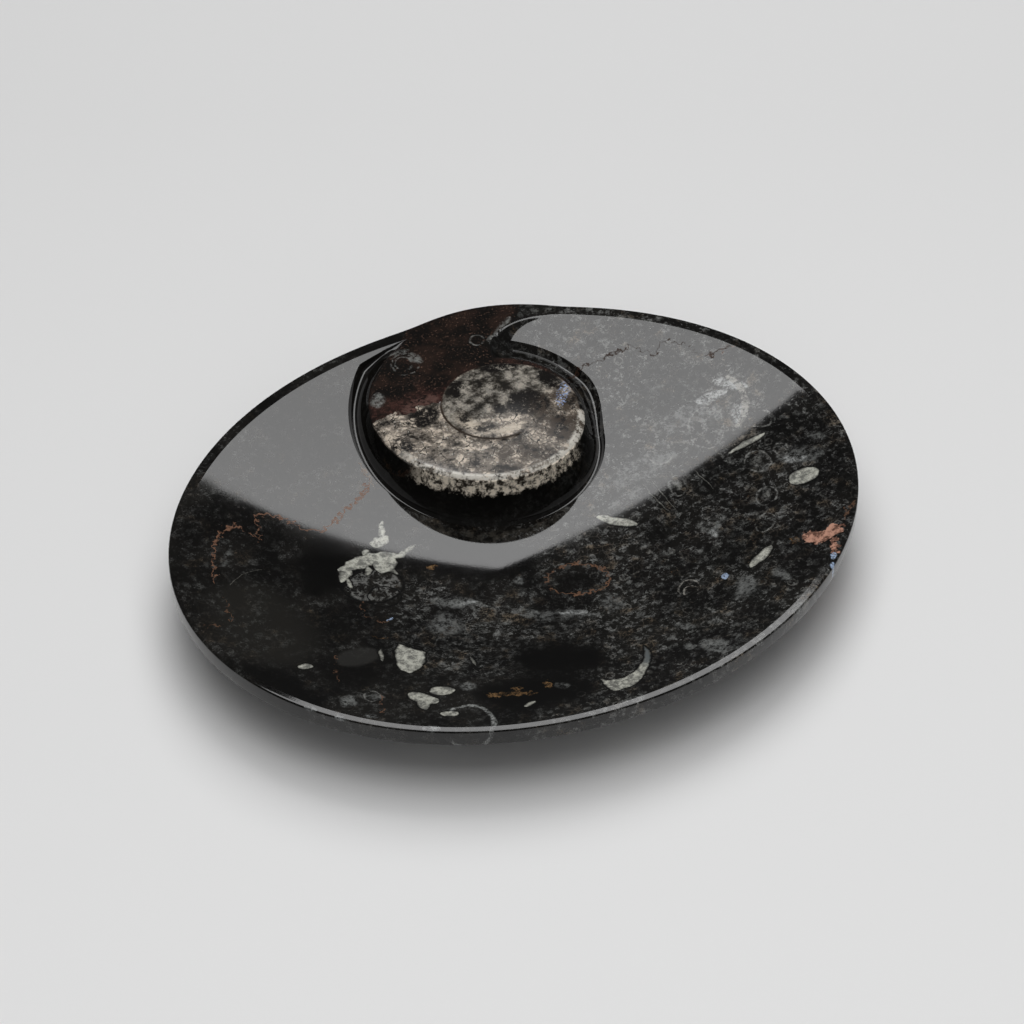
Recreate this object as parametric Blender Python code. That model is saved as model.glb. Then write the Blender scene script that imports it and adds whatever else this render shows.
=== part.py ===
"""Polished oval stone dish with a raised spiral shell at its back edge.

One closed body carved from one piece of dark fossil limestone.
Frame: metres, +Z up, +X along the dish's long axis, origin at the middle of the foot.
All working lengths below are millimetres and are scaled once, at the end.
"""
import math

import bmesh
import bpy
from mathutils import Vector

MM = 0.001

# Outline of the dish, seen from above
HALF_LENGTH = 75.0
HALF_WIDTH = 62.5
OUTLINE_BLEND = 1.2
SHELL_SWELL = 1.4
SWELL_END = math.radians(285.0)
SWELL_FADE = math.radians(31.0)

# Heights above the table
RIM_HEIGHT = 18.0
BOWL_DEPTH = 9.7
WALL_HEIGHT = 3.7

# The flat lip that runs round the rim
LIP_WIDTH = 2.2
EDGE_ROUND = 0.4

# Underside and foot
FOOT_SCALE = 0.56
UNDERSIDE_POWER = 1.25
UNDERSIDE_STEPS = 5

# The spiral shell: a logarithmic spiral r = SPIRAL_START * exp(SPIRAL_GROWTH * turn)
SHELL_X = 13.3
SHELL_Y = 29.0
SPIRAL_START = 18.3
SPIRAL_GROWTH = 0.13
START_DIRECTION = math.radians(-31.5)
FULL_TURN = 2.0 * math.pi
SHELL_HEIGHT = 18.0
BEVEL_WIDTH = 1.3
BEVEL_DROP = 0.7
BEVEL_FADE = 1.2
WALL_CURVE = 2.0
DISC_DOME = 0.5
WHORL_DOME = 0.12
SUTURE_DEPTH = 0.4
SUTURE_WIDTH = 0.6

# The mouth of the shell, where the last whorl ramps down into the bowl
MOUTH_TURN = math.radians(265.0)
MOUTH_SWEEP = math.radians(12.5)
MOUTH_INNER = 21.0
MOUTH_LENGTH = 12.0
MOUTH_SLOPE = 1.1
MOUTH_FLATTENS = 0.85
MOUTH_ROUND = 3.0
RING_LEAVES = math.radians(262.0)
RING_REJOINS = math.radians(275.0)
LEDGE_RADIUS = 17.8
LEDGE_TAIL = 0.7
LEDGE_MOAT = 1.1
LEDGE_BLEND = 0.6

# The carved moat between shell and bowl
MOAT_DEPTH = 1.7
MOAT_WIDTH = 4.5
MOAT_RUN = 1.1
FADE_REACH = 10.0
MIN_BAND = 5.0
MIN_FOOT = 0.6
BOTTOM_ROUND = 0.4
ROUND_ROOM = 2.0

SEGMENTS = 112
DISC_RINGS = (0.25, 0.5, 0.75)
WHORL_RINGS = (0.35, 0.7)
BOWL_RINGS = (0.08, 0.2, 0.34, 0.5, 0.66, 0.8, 0.91)


def clamp01(value):
    return min(max(value, 0.0), 1.0)


def smooth(value):
    t = clamp01(value)
    return t * t * (3.0 - 2.0 * t)


def direction(turn):
    """Unit vector for a turn measured clockwise from the spiral's start."""
    angle = START_DIRECTION - turn
    return math.cos(angle), math.sin(angle)


def spiral(turn):
    return SPIRAL_START * math.exp(SPIRAL_GROWTH * turn)


def ellipse_reach(turn):
    """Distance from the shell's centre to the oval outline."""
    dx, dy = direction(turn)
    a = (dx / HALF_LENGTH) ** 2 + (dy / HALF_WIDTH) ** 2
    b = SHELL_X * dx / HALF_LENGTH ** 2 + SHELL_Y * dy / HALF_WIDTH ** 2
    c = (SHELL_X / HALF_LENGTH) ** 2 + (SHELL_Y / HALF_WIDTH) ** 2 - 1.0
    return (-b + math.sqrt(b * b - a * c)) / a


def outline_reach(turn):
    """The oval, pushed out where the last whorl swells past it."""
    oval = ellipse_reach(turn)
    fade = 1.0 - smooth((turn - SWELL_END) / SWELL_FADE)
    shell = oval + (spiral(turn) + SHELL_SWELL - oval) * fade
    return oval + (smooth_max(oval, shell, OUTLINE_BLEND) - oval) * fade


def smooth_max(a, b, blend):
    return 0.5 * (a + b + math.sqrt((a - b) ** 2 + blend ** 2))


def ledge_fade(turn):
    """1 behind the mouth, where a ledge is left round the disc, 0 elsewhere."""
    return smooth((turn - MOUTH_TURN + 0.3) / 0.3) * smooth((FULL_TURN - turn) / LEDGE_TAIL)


def disc_edge(turn):
    """Edge of the inner disc, with the narrow ledge left behind the mouth."""
    inner = spiral(turn - FULL_TURN)
    return inner + (smooth_max(inner, LEDGE_RADIUS, LEDGE_BLEND) - inner) * ledge_fade(turn)


def shell_edge(turn):
    """Outer edge of the shell, closed up behind its mouth."""
    t = smooth((turn - RING_LEAVES) / (RING_REJOINS - RING_LEAVES))
    return spiral(turn) + (disc_edge(turn) - spiral(turn)) * t


def plan_point(turn, radius):
    dx, dy = direction(turn)
    return SHELL_X + dx * radius, SHELL_Y + dy * radius


def bowl_height(x, y):
    q = (x / (HALF_LENGTH - LIP_WIDTH)) ** 2 + (y / (HALF_WIDTH - LIP_WIDTH)) ** 2
    return RIM_HEIGHT - BOWL_DEPTH * (1.0 - min(q, 1.0))


def ring_edge(turn):
    """Edge of what stands up: the last whorl, or the inner disc beyond the mouth."""
    return spiral(turn) if turn < MOUTH_TURN else disc_edge(turn)


def moat_fade(turn):
    """How much of the full moat is carved: none where the shell meets the rim."""
    return clamp01((outline_reach(turn) - LIP_WIDTH - ring_edge(turn)) / FADE_REACH)


def moat_reach(turn):
    """Distance from the shell's edge to the crease where the bowl begins."""
    return (MOAT_WIDTH + LEDGE_MOAT * ledge_fade(turn)) * moat_fade(turn)


def moat_bottom(turn):
    """Distance out from the shell's edge, and height, of the moat's lowest line."""
    fade = moat_fade(turn)
    crease = moat_reach(turn)
    x, y = plan_point(turn, ring_edge(turn) + crease)
    return max(crease - MOAT_RUN * fade, MIN_FOOT), bowl_height(x, y) - MOAT_DEPTH * fade


def wall_height(top, offset, turn):
    """The shell's side, from its bevel down to the bottom of the moat."""
    reach, low = moat_bottom(turn)
    return top - max(top - low, 0.0) * (1.0 - (1.0 - clamp01(offset / reach)) ** WALL_CURVE)


def edge_profile(radius, edge, turn):
    """Height across a shell edge: flat top, rounded bevel, hollow wall."""
    offset = radius - edge
    if offset < -BEVEL_WIDTH:
        return SHELL_HEIGHT
    room = outline_reach(turn) - edge - LIP_WIDTH
    drop = BEVEL_DROP * smooth(room / BEVEL_FADE)
    if offset < 0.0:
        t = (offset + BEVEL_WIDTH) / BEVEL_WIDTH
        return SHELL_HEIGHT - drop * t * t
    return wall_height(SHELL_HEIGHT - drop, offset, turn)


def mouth_ramp(radius, turn):
    """Height of the last whorl beyond its mouth."""
    reach = clamp01((radius - MOUTH_INNER) / MOUTH_LENGTH)
    past = radius * (turn - MOUTH_TURN - MOUTH_SWEEP * reach)
    if past <= 0.0:
        return SHELL_HEIGHT
    slope = MOUTH_SLOPE * (1.0 - MOUTH_FLATTENS * reach)
    return SHELL_HEIGHT - slope * past * past / (past + MOUTH_ROUND)


def ground_height(x, y, radius, turn):
    """The bowl with the moat cut into it."""
    fade = moat_fade(turn)
    inside = ring_edge(turn) + moat_reach(turn) - radius
    return bowl_height(x, y) - min(max(inside, 0.0) / MOAT_RUN, fade) * MOAT_DEPTH


def top_height(x, y):
    """Height of the polished upper side at a point in plan."""
    dx = x - SHELL_X
    dy = y - SHELL_Y
    radius = math.hypot(dx, dy)
    turn = (START_DIRECTION - math.atan2(dy, dx)) % FULL_TURN
    inner = spiral(turn - FULL_TURN)
    outer = spiral(turn)
    seam = smooth((turn - 0.9) / 0.5) * (1.0 - smooth((turn - MOUTH_TURN) / 0.25))
    across = clamp01((radius - inner) / (outer - inner))
    dome = DISC_DOME * max(1.0 - (radius / SPIRAL_START) ** 2, 0.0)
    dome += seam * WHORL_DOME * math.sin(math.pi * across)
    whorl = min(edge_profile(radius, outer, turn), mouth_ramp(radius, turn))
    disc = edge_profile(radius, disc_edge(turn), turn)
    shell = max(whorl, disc)
    shell -= seam * SUTURE_DEPTH * math.exp(-((radius - inner) / SUTURE_WIDTH) ** 2)
    if shell > SHELL_HEIGHT - BEVEL_DROP:
        shell += dome * smooth((shell - SHELL_HEIGHT + BEVEL_DROP) / BEVEL_DROP)
    ground = ground_height(x, y, radius, turn)
    room = smooth((SHELL_HEIGHT - ground) / ROUND_ROOM)
    return smooth_max(shell, ground, BOTTOM_ROUND * moat_fade(turn) * room)


def outline_point(turn):
    return plan_point(turn, outline_reach(turn % FULL_TURN))


def outline_inset(turn, inset):
    """A point set in from the outline, square to it."""
    step = 0.01
    x0, y0 = outline_point(turn - step)
    x1, y1 = outline_point(turn + step)
    along = Vector((x1 - x0, y1 - y0)).normalized()
    x, y = outline_point(turn)
    return x + along.y * inset, y - along.x * inset


def seam_radius(turn):
    """Closed ring that follows the seam round the inner disc."""
    follow_from = math.radians(60.0)
    leave_at = math.radians(262.0)
    back_in = math.radians(306.0)
    here = spiral(turn - FULL_TURN)
    if follow_from <= turn <= leave_at:
        return here
    start = spiral(leave_at - FULL_TURN)
    low = spiral(back_in - FULL_TURN) - 4.5
    if leave_at < turn <= back_in:
        return start + (low - start) * smooth((turn - leave_at) / (back_in - leave_at))
    end = spiral(follow_from - FULL_TURN)
    past = (turn - back_in) % FULL_TURN
    span = (follow_from - back_in) % FULL_TURN
    return low + (end - low) * smooth(past / span)


def upper_rings(turn):
    """Plan points of one spoke, from the shell's middle out to the lip."""
    seam = seam_radius(turn)
    reach = outline_reach(turn)
    edge = min(shell_edge(turn), reach - MIN_BAND)
    room = reach - LIP_WIDTH - edge
    squeeze = min(1.0, room / FADE_REACH)
    radii = [seam * part for part in DISC_RINGS]
    radii += [seam - SUTURE_WIDTH, seam, seam + SUTURE_WIDTH]
    start = seam + SUTURE_WIDTH
    stop = edge - BEVEL_WIDTH
    radii += [start + (stop - start) * part for part in WHORL_RINGS]
    radii += [stop, edge - 0.5 * BEVEL_WIDTH, edge]
    crease = MOAT_WIDTH + LEDGE_MOAT * ledge_fade(turn)
    low = crease - MOAT_RUN
    for offset in (0.12 * low, 0.3 * low, 0.55 * low, 0.8 * low, low, crease - 0.5 * MOAT_RUN, crease):
        radii.append(edge + offset * squeeze)
    points = [plan_point(turn, radius) for radius in radii]
    x0, y0 = points[-1]
    x1, y1 = outline_inset(turn, LIP_WIDTH)
    for part in BOWL_RINGS:
        points.append((x0 + (x1 - x0) * part, y0 + (y1 - y0) * part))
    return points


def spoke(turn):
    """All points of one spoke, from the middle over the lip to the foot."""
    points = [(x, y, top_height(x, y)) for x, y in upper_rings(turn)]
    wall_foot = RIM_HEIGHT - WALL_HEIGHT
    for inset, height in (
        (LIP_WIDTH, RIM_HEIGHT),
        (EDGE_ROUND, RIM_HEIGHT),
        (0.0, RIM_HEIGHT - EDGE_ROUND),
        (0.0, wall_foot + EDGE_ROUND),
        (EDGE_ROUND, wall_foot),
    ):
        x, y = outline_inset(turn, inset)
        points.append((x, y, height))
    x, y = outline_point(turn)
    for step in range(1, UNDERSIDE_STEPS + 1):
        rest = 1.0 - step / UNDERSIDE_STEPS
        scale = FOOT_SCALE + (1.0 - FOOT_SCALE) * rest
        points.append((x * scale, y * scale, wall_foot * rest ** UNDERSIDE_POWER))
    return points


def extrude_ring(bm, ring):
    """Extrude a closed ring of edges and return the new ring in the same order."""
    count = len(ring)
    edges = [bm.edges.get((ring[i], ring[(i + 1) % count])) for i in range(count)]
    made = bmesh.ops.extrude_edge_only(bm, edges=edges)["geom"]
    fresh = {item for item in made if isinstance(item, bmesh.types.BMVert)}
    following = []
    for vert in ring:
        following.append(next(e.other_vert(vert) for e in vert.link_edges if e.other_vert(vert) in fresh))
    return following


def build_dish():
    spokes = [spoke(FULL_TURN * i / SEGMENTS) for i in range(SEGMENTS)]
    bm = bmesh.new()
    bmesh.ops.create_circle(bm, cap_ends=True, cap_tris=True, segments=SEGMENTS, radius=1.0)
    hub = next(v for v in bm.verts if v.co.length < 0.5)
    ring = sorted((v for v in bm.verts if v is not hub), key=lambda v: math.atan2(v.co.y, v.co.x))
    hub.co = (SHELL_X, SHELL_Y, top_height(SHELL_X, SHELL_Y))
    for level in range(len(spokes[0])):
        if level:
            ring = extrude_ring(bm, ring)
        for vert, points in zip(ring, spokes):
            vert.co = points[level]
    bmesh.ops.contextual_create(bm, geom=ring)
    bmesh.ops.recalc_face_normals(bm, faces=bm.faces)
    xs = [v.co.x for v in bm.verts]
    ys = [v.co.y for v in bm.verts]
    middle = Vector((0.5 * (min(xs) + max(xs)), 0.5 * (min(ys) + max(ys)), 0.0))
    bmesh.ops.translate(bm, verts=bm.verts, vec=-middle)
    bmesh.ops.scale(bm, verts=bm.verts, vec=(MM, MM, MM))
    mesh = bpy.data.meshes.new("fossil_plate")
    bm.to_mesh(mesh)
    bm.free()
    return mesh


def stone_material():
    """Black limestone with a mirror polish."""
    material = bpy.data.materials.new("polished_black_limestone")
    material.use_nodes = True
    shader = material.node_tree.nodes["Principled BSDF"]
    shader.inputs["Base Color"].default_value = (0.014, 0.013, 0.013, 1.0)
    shader.inputs["Roughness"].default_value = 0.08
    shader.inputs["Metallic"].default_value = 0.0
    return material


for leftover in list(bpy.data.objects):
    bpy.data.objects.remove(leftover, do_unlink=True)

dish_mesh = build_dish()
dish = bpy.data.objects.new("fossil_plate", dish_mesh)
bpy.context.scene.collection.objects.link(dish)
dish_mesh.materials.append(stone_material())
bpy.context.view_layer.objects.active = dish
dish.select_set(True)
bpy.ops.object.shade_smooth()
dish_mesh.set_sharp_from_angle(angle=math.radians(20.0))
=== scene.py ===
# %% [markdown]
# # A polished fossil dish
# This scene dresses a shallow oval dish carved from one piece of black fossil limestone.
# A coiled shell stands up at its back edge and the rest is polished like a mirror.
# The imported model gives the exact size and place. This file adds the finer surface,
# the stone, the camera and the light.

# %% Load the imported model
import math

import bmesh
import bpy
from mathutils import Matrix, Vector


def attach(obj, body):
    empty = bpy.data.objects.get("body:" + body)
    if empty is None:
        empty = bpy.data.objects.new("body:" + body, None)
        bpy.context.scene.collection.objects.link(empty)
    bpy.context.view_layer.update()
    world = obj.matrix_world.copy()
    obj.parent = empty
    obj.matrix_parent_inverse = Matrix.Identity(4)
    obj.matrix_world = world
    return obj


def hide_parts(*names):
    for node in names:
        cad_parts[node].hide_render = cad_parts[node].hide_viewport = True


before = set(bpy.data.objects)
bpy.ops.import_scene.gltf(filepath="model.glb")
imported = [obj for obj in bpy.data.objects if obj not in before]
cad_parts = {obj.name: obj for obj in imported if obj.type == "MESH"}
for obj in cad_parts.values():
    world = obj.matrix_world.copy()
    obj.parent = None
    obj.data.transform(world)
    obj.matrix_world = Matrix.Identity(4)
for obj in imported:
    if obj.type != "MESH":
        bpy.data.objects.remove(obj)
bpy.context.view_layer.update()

# %% [markdown]
# ## Sizes
# Everything is worked out in millimetres and scaled to metres once, when the mesh is made.
# Naming each length keeps the shape readable: the oval, the lip, the bowl, the shell and the moat.

# %% Name the sizes in millimetres
MM = 0.001
FULL_TURN = 2.0 * math.pi

HALF_LENGTH = 75.0
HALF_WIDTH = 62.5
OUTLINE_BLEND = 1.2
SHELL_SWELL = 1.4
SWELL_END = math.radians(285.0)
SWELL_FADE = math.radians(31.0)

RIM_HEIGHT = 18.0
BOWL_DEPTH = 9.7
WALL_HEIGHT = 3.7
WALL_FOOT = RIM_HEIGHT - WALL_HEIGHT
LIP_WIDTH = 2.2
BOWL_SHIFT = (-0.37, -0.6)
BACK_LIP = 3.1
EDGE_ROUND = 0.4
FOOT_SCALE = 0.56
UNDERSIDE_POWER = 1.25

SHELL_X = 13.3
SHELL_Y = 29.0
SPIRAL_START = 18.3
SPIRAL_GROWTH = 0.13
START_DIRECTION = math.radians(-31.5)
SHELL_HEIGHT = 18.0
BEVEL_WIDTH = 1.3
BEVEL_DROP = 0.7
BEVEL_FADE = 1.2
WALL_CURVE = 2.0
DISC_DOME = 0.5
WHORL_DOME = 0.12
SUTURE_DEPTH = 0.16
SUTURE_WIDTH = 0.32
SEAM_FROM = math.radians(52.0)
SEAM_TO = math.radians(172.0)
SEAM_FADE_IN = 0.5
SEAM_FADE_OUT = 0.4

MOUTH_TURN = math.radians(265.0)
MOUTH_SWEEP = math.radians(12.5)
MOUTH_INNER = 21.0
MOUTH_LENGTH = 12.0
MOUTH_HOOK = math.radians(11.0)
MOUTH_SLOPE = 1.1
MOUTH_FLATTENS = 0.85
MOUTH_ROUND = 0.25
RING_LEAVES = math.radians(262.0)
RING_REJOINS = math.radians(275.0)
LEDGE_RADIUS = 17.8
LEDGE_LEAD = 0.3
LEDGE_TAIL = 0.7
LEDGE_MOAT = 2.6
LEDGE_BLEND = 0.6

MOAT_DEPTH = 1.7
MOAT_WIDTH = 4.5
MOAT_RUN = 1.1
BOTTOM_ROUND = 0.55
ROUND_ROOM = 2.0
FADE_REACH = 6.5
MIN_BAND = 6.0
MIN_FOOT = 0.6

# %% [markdown]
# ## The outline and the spiral
# A coiled shell grows by the same factor every turn, so its edge is a logarithmic spiral.
# The dish is an oval, pushed out a little at the back where the last whorl swells past it.

# %% Curves seen from above
def clamp01(value):
    return min(max(value, 0.0), 1.0)


def smooth(value):
    t = clamp01(value)
    return t * t * (3.0 - 2.0 * t)


def smooth_max(a, b, blend):
    return 0.5 * (a + b + math.sqrt((a - b) ** 2 + blend ** 2))


def direction(turn):
    """Unit vector for a turn measured clockwise from the spiral's start."""
    angle = START_DIRECTION - turn
    return math.cos(angle), math.sin(angle)


def spiral(turn):
    return SPIRAL_START * math.exp(SPIRAL_GROWTH * turn)


def ellipse_reach(turn):
    """Distance from the shell's centre to the oval."""
    dx, dy = direction(turn)
    a = (dx / HALF_LENGTH) ** 2 + (dy / HALF_WIDTH) ** 2
    b = SHELL_X * dx / HALF_LENGTH ** 2 + SHELL_Y * dy / HALF_WIDTH ** 2
    c = (SHELL_X / HALF_LENGTH) ** 2 + (SHELL_Y / HALF_WIDTH) ** 2 - 1.0
    return (-b + math.sqrt(b * b - a * c)) / a


def outline_reach(turn):
    oval = ellipse_reach(turn)
    fade = 1.0 - smooth((turn - SWELL_END) / SWELL_FADE)
    shell = oval + (spiral(turn) + SHELL_SWELL - oval) * fade
    return oval + (smooth_max(oval, shell, OUTLINE_BLEND) - oval) * fade


def ledge_fade(turn):
    """1 behind the mouth, where a ledge is left round the disc, 0 elsewhere."""
    rise = smooth((turn - MOUTH_TURN + LEDGE_LEAD) / LEDGE_LEAD)
    return rise * smooth((FULL_TURN - turn) / LEDGE_TAIL)


def disc_edge(turn):
    """Edge of the inner disc, with the narrow ledge left behind the mouth."""
    inner = spiral(turn - FULL_TURN)
    return inner + (smooth_max(inner, LEDGE_RADIUS, LEDGE_BLEND) - inner) * ledge_fade(turn)


def shell_edge(turn):
    t = smooth((turn - RING_LEAVES) / (RING_REJOINS - RING_LEAVES))
    return spiral(turn) + (disc_edge(turn) - spiral(turn)) * t


# %% [markdown]
# ## The height of the polished side
# The upper side is one height for every point seen from above: bowl, moat, shell or lip.
# Writing it as a function means the mesh can be as fine as the reflections need.

# %% Height above the table
def plan_point(turn, radius):
    dx, dy = direction(turn)
    return SHELL_X + dx * radius, SHELL_Y + dy * radius


def bowl_height(x, y):
    dx = (x - BOWL_SHIFT[0]) / (HALF_LENGTH - LIP_WIDTH)
    dy = (y - BOWL_SHIFT[1]) / (HALF_WIDTH - LIP_WIDTH)
    return RIM_HEIGHT - BOWL_DEPTH * (1.0 - min(dx * dx + dy * dy, 1.0))


def ring_edge(turn):
    """Edge of what stands up: the last whorl, or the inner disc beyond the mouth."""
    return spiral(turn) if turn < MOUTH_TURN else disc_edge(turn)


def moat_fade(turn):
    """How much of the full moat is carved: none where the shell meets the rim."""
    return clamp01((outline_reach(turn) - BACK_LIP - ring_edge(turn)) / FADE_REACH)


def moat_reach(turn):
    """Distance from the shell's edge to the crease where the bowl begins."""
    return (MOAT_WIDTH + LEDGE_MOAT * ledge_fade(turn)) * moat_fade(turn)


def moat_bottom(turn):
    """Distance out from the shell's edge, and height, of the moat's lowest line."""
    fade = moat_fade(turn)
    crease = moat_reach(turn)
    x, y = plan_point(turn, ring_edge(turn) + crease)
    return max(crease - MOAT_RUN * fade, MIN_FOOT), bowl_height(x, y) - MOAT_DEPTH * fade


def wall_height(top, offset, turn):
    """The shell's side, from its bevel down to the bottom of the moat."""
    reach, low = moat_bottom(turn)
    return top - max(top - low, 0.0) * (1.0 - (1.0 - clamp01(offset / reach)) ** WALL_CURVE)


def edge_profile(radius, edge, turn):
    """Height across a shell edge: flat top, rounded bevel, hollow wall."""
    offset = radius - edge
    if offset < -BEVEL_WIDTH:
        return SHELL_HEIGHT
    room = outline_reach(turn) - edge - BACK_LIP
    drop = BEVEL_DROP * smooth(room / BEVEL_FADE)
    if offset < 0.0:
        t = (offset + BEVEL_WIDTH) / BEVEL_WIDTH
        return SHELL_HEIGHT - drop * t * t
    return wall_height(SHELL_HEIGHT - drop, offset, turn)


def mouth_ramp(radius, turn):
    """Height of the last whorl beyond its mouth."""
    reach = clamp01((radius - MOUTH_INNER) / MOUTH_LENGTH)
    past = radius * (turn - MOUTH_TURN - MOUTH_SWEEP * reach - MOUTH_HOOK * reach ** 3)
    if past <= 0.0:
        return SHELL_HEIGHT
    slope = MOUTH_SLOPE * (1.0 - MOUTH_FLATTENS * reach)
    return SHELL_HEIGHT - slope * past * past / (past + MOUTH_ROUND)


def ground_height(x, y, radius, turn):
    """The bowl with the moat cut into it."""
    fade = moat_fade(turn)
    inside = ring_edge(turn) + moat_reach(turn) - radius
    return bowl_height(x, y) - min(max(inside, 0.0) / MOAT_RUN, fade) * MOAT_DEPTH


def top_height(x, y):
    dx = x - SHELL_X
    dy = y - SHELL_Y
    radius = math.hypot(dx, dy)
    turn = (START_DIRECTION - math.atan2(dy, dx)) % FULL_TURN
    inner = spiral(turn - FULL_TURN)
    outer = spiral(turn)
    seam = smooth((turn - SEAM_FROM) / SEAM_FADE_IN)
    seam *= 1.0 - smooth((turn - SEAM_TO) / SEAM_FADE_OUT)
    across = clamp01((radius - inner) / (outer - inner))
    dome = DISC_DOME * max(1.0 - (radius / SPIRAL_START) ** 2, 0.0)
    dome += seam * WHORL_DOME * math.sin(math.pi * across)
    whorl = min(edge_profile(radius, outer, turn), mouth_ramp(radius, turn))
    disc = edge_profile(radius, disc_edge(turn), turn)
    shell = max(whorl, disc)
    shell -= seam * SUTURE_DEPTH * math.exp(-((radius - inner) / SUTURE_WIDTH) ** 2)
    if shell > SHELL_HEIGHT - BEVEL_DROP:
        shell += dome * smooth((shell - SHELL_HEIGHT + BEVEL_DROP) / BEVEL_DROP)
    ground = ground_height(x, y, radius, turn)
    room = smooth((SHELL_HEIGHT - ground) / ROUND_ROOM)
    return smooth_max(shell, ground, BOTTOM_ROUND * moat_fade(turn) * room)


# %% [markdown]
# ## Spokes and rings
# The mesh is laid out like a spider's web round the shell's centre. Each spoke crosses the
# disc, the whorl, the bevel, the moat, the bowl and the lip, so every edge gets its own ring.

# %% Lay out one spoke
SEGMENTS = 420
CROWDING = 0.6
DISC_RINGS = [i / 12.0 for i in range(1, 11)]
DISC_REACH = 0.92
SEAM_OFFSETS = (-1.4, -0.85, -0.55, -0.36, -0.2, -0.08, 0.0, 0.08, 0.2, 0.36, 0.55, 0.85, 1.4)
SEAM_ROOM = 2.0
SEAM_FOLLOWS = math.radians(60.0)
SEAM_BACK = math.radians(306.0)
SEAM_DIP = 4.5
WHORL_STEPS = 12
BEVEL_STEPS = 7
WALL_PARTS = (0.02, 0.07, 0.15, 0.25, 0.4, 0.55, 0.7, 0.8)
BOTTOM_OFFSETS = (-0.4, -0.28, -0.18, -0.08, 0.0, 0.08, 0.18, 0.28, 0.4, 0.6)
CREASE_OFFSETS = (-0.25, -0.06, 0.0, 0.06, 0.25)
BOWL_STEPS = 34
LIP_GAP = 0.05
LIP_STEPS = 4
ROUND_STEPS = 6
FOOT_STEPS = 4
UNDERSIDE_STEPS = 10
SHARP_ANGLE = math.radians(24.0)


def outline_point(turn):
    return plan_point(turn, outline_reach(turn % FULL_TURN))


def outline_inset(turn, inset):
    """A point set in from the outline, square to it."""
    step = 0.01
    x0, y0 = outline_point(turn - step)
    x1, y1 = outline_point(turn + step)
    along = Vector((x1 - x0, y1 - y0)).normalized()
    x, y = outline_point(turn)
    return x + along.y * inset, y - along.x * inset


def lip_width(turn):
    """The bowl is cut a little nearer the front, so the lip is wider at the back."""
    x0, y0 = outline_inset(turn, 0.0)
    x1, y1 = outline_inset(turn, 1.0)
    return LIP_WIDTH + BOWL_SHIFT[0] * (x1 - x0) + BOWL_SHIFT[1] * (y1 - y0)


def seam_radius(turn):
    """Closed ring that follows the seam round the inner disc."""
    if SEAM_FOLLOWS <= turn <= RING_LEAVES:
        return spiral(turn - FULL_TURN)
    start = spiral(RING_LEAVES - FULL_TURN)
    low = spiral(SEAM_BACK - FULL_TURN) - SEAM_DIP
    if RING_LEAVES < turn <= SEAM_BACK:
        return start + (low - start) * smooth((turn - RING_LEAVES) / (SEAM_BACK - RING_LEAVES))
    end = spiral(SEAM_FOLLOWS - FULL_TURN)
    past = (turn - SEAM_BACK) % FULL_TURN
    span = (SEAM_FOLLOWS - SEAM_BACK) % FULL_TURN
    return low + (end - low) * smooth(past / span)


def upper_rings(turn):
    seam = seam_radius(turn)
    reach = outline_reach(turn)
    edge = min(shell_edge(turn), reach - MIN_BAND)
    crease = MOAT_WIDTH + LEDGE_MOAT * ledge_fade(turn)
    squeeze = min(1.0, (reach - BACK_LIP - edge) / (crease + FADE_REACH - MOAT_WIDTH))
    stop = edge - BEVEL_WIDTH
    tight = min(1.0, (stop - seam) / SEAM_ROOM)
    inside = seam + SEAM_OFFSETS[0]
    radii = [inside * part / DISC_RINGS[-1] * DISC_REACH for part in DISC_RINGS]
    radii += [seam + offset * (tight if offset > 0.0 else 1.0) for offset in SEAM_OFFSETS]
    start = radii[-1]
    radii += [start + (stop - start) * i / WHORL_STEPS for i in range(1, WHORL_STEPS + 1)]
    radii += [stop + BEVEL_WIDTH * i / BEVEL_STEPS for i in range(1, BEVEL_STEPS + 1)]
    low = crease - MOAT_RUN
    offsets = [low * part for part in WALL_PARTS]
    offsets += [low + offset for offset in BOTTOM_OFFSETS]
    offsets += [crease + offset for offset in CREASE_OFFSETS]
    radii += [edge + offset * squeeze for offset in offsets]
    points = [plan_point(turn, radius) for radius in radii]
    x0, y0 = points[-1]
    x1, y1 = outline_inset(turn, lip_width(turn) + LIP_GAP)
    for i in range(1, BOWL_STEPS + 1):
        part = i / BOWL_STEPS
        points.append((x0 + (x1 - x0) * part, y0 + (y1 - y0) * part))
    return points


def rounding(steps, i):
    """How far in and how far along a rounded edge is after i of its steps."""
    angle = 0.5 * math.pi * i / steps
    return EDGE_ROUND * (1.0 - math.sin(angle)), EDGE_ROUND * (1.0 - math.cos(angle))


def lip_profile(width):
    """Inset and height of each ring over the lip and down the outer wall."""
    profile = []
    for i in range(LIP_STEPS + 1):
        profile.append((width + (EDGE_ROUND - width) * (i / LIP_STEPS), RIM_HEIGHT))
    for i in range(1, ROUND_STEPS + 1):
        inset, down = rounding(ROUND_STEPS, i)
        profile.append((inset, RIM_HEIGHT - down))
    profile.append((0.0, 0.5 * (RIM_HEIGHT + WALL_FOOT)))
    for i in range(FOOT_STEPS + 1):
        up, inset = rounding(FOOT_STEPS, i)
        profile.append((inset, WALL_FOOT + up))
    return profile


def spoke_turn(i):
    """Spokes stand closer together near the mouth, where the surface turns quickest."""
    even = FULL_TURN * i / SEGMENTS
    return (even - CROWDING * math.sin(even - MOUTH_TURN - 0.5 * MOUTH_SWEEP)) % FULL_TURN


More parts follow.
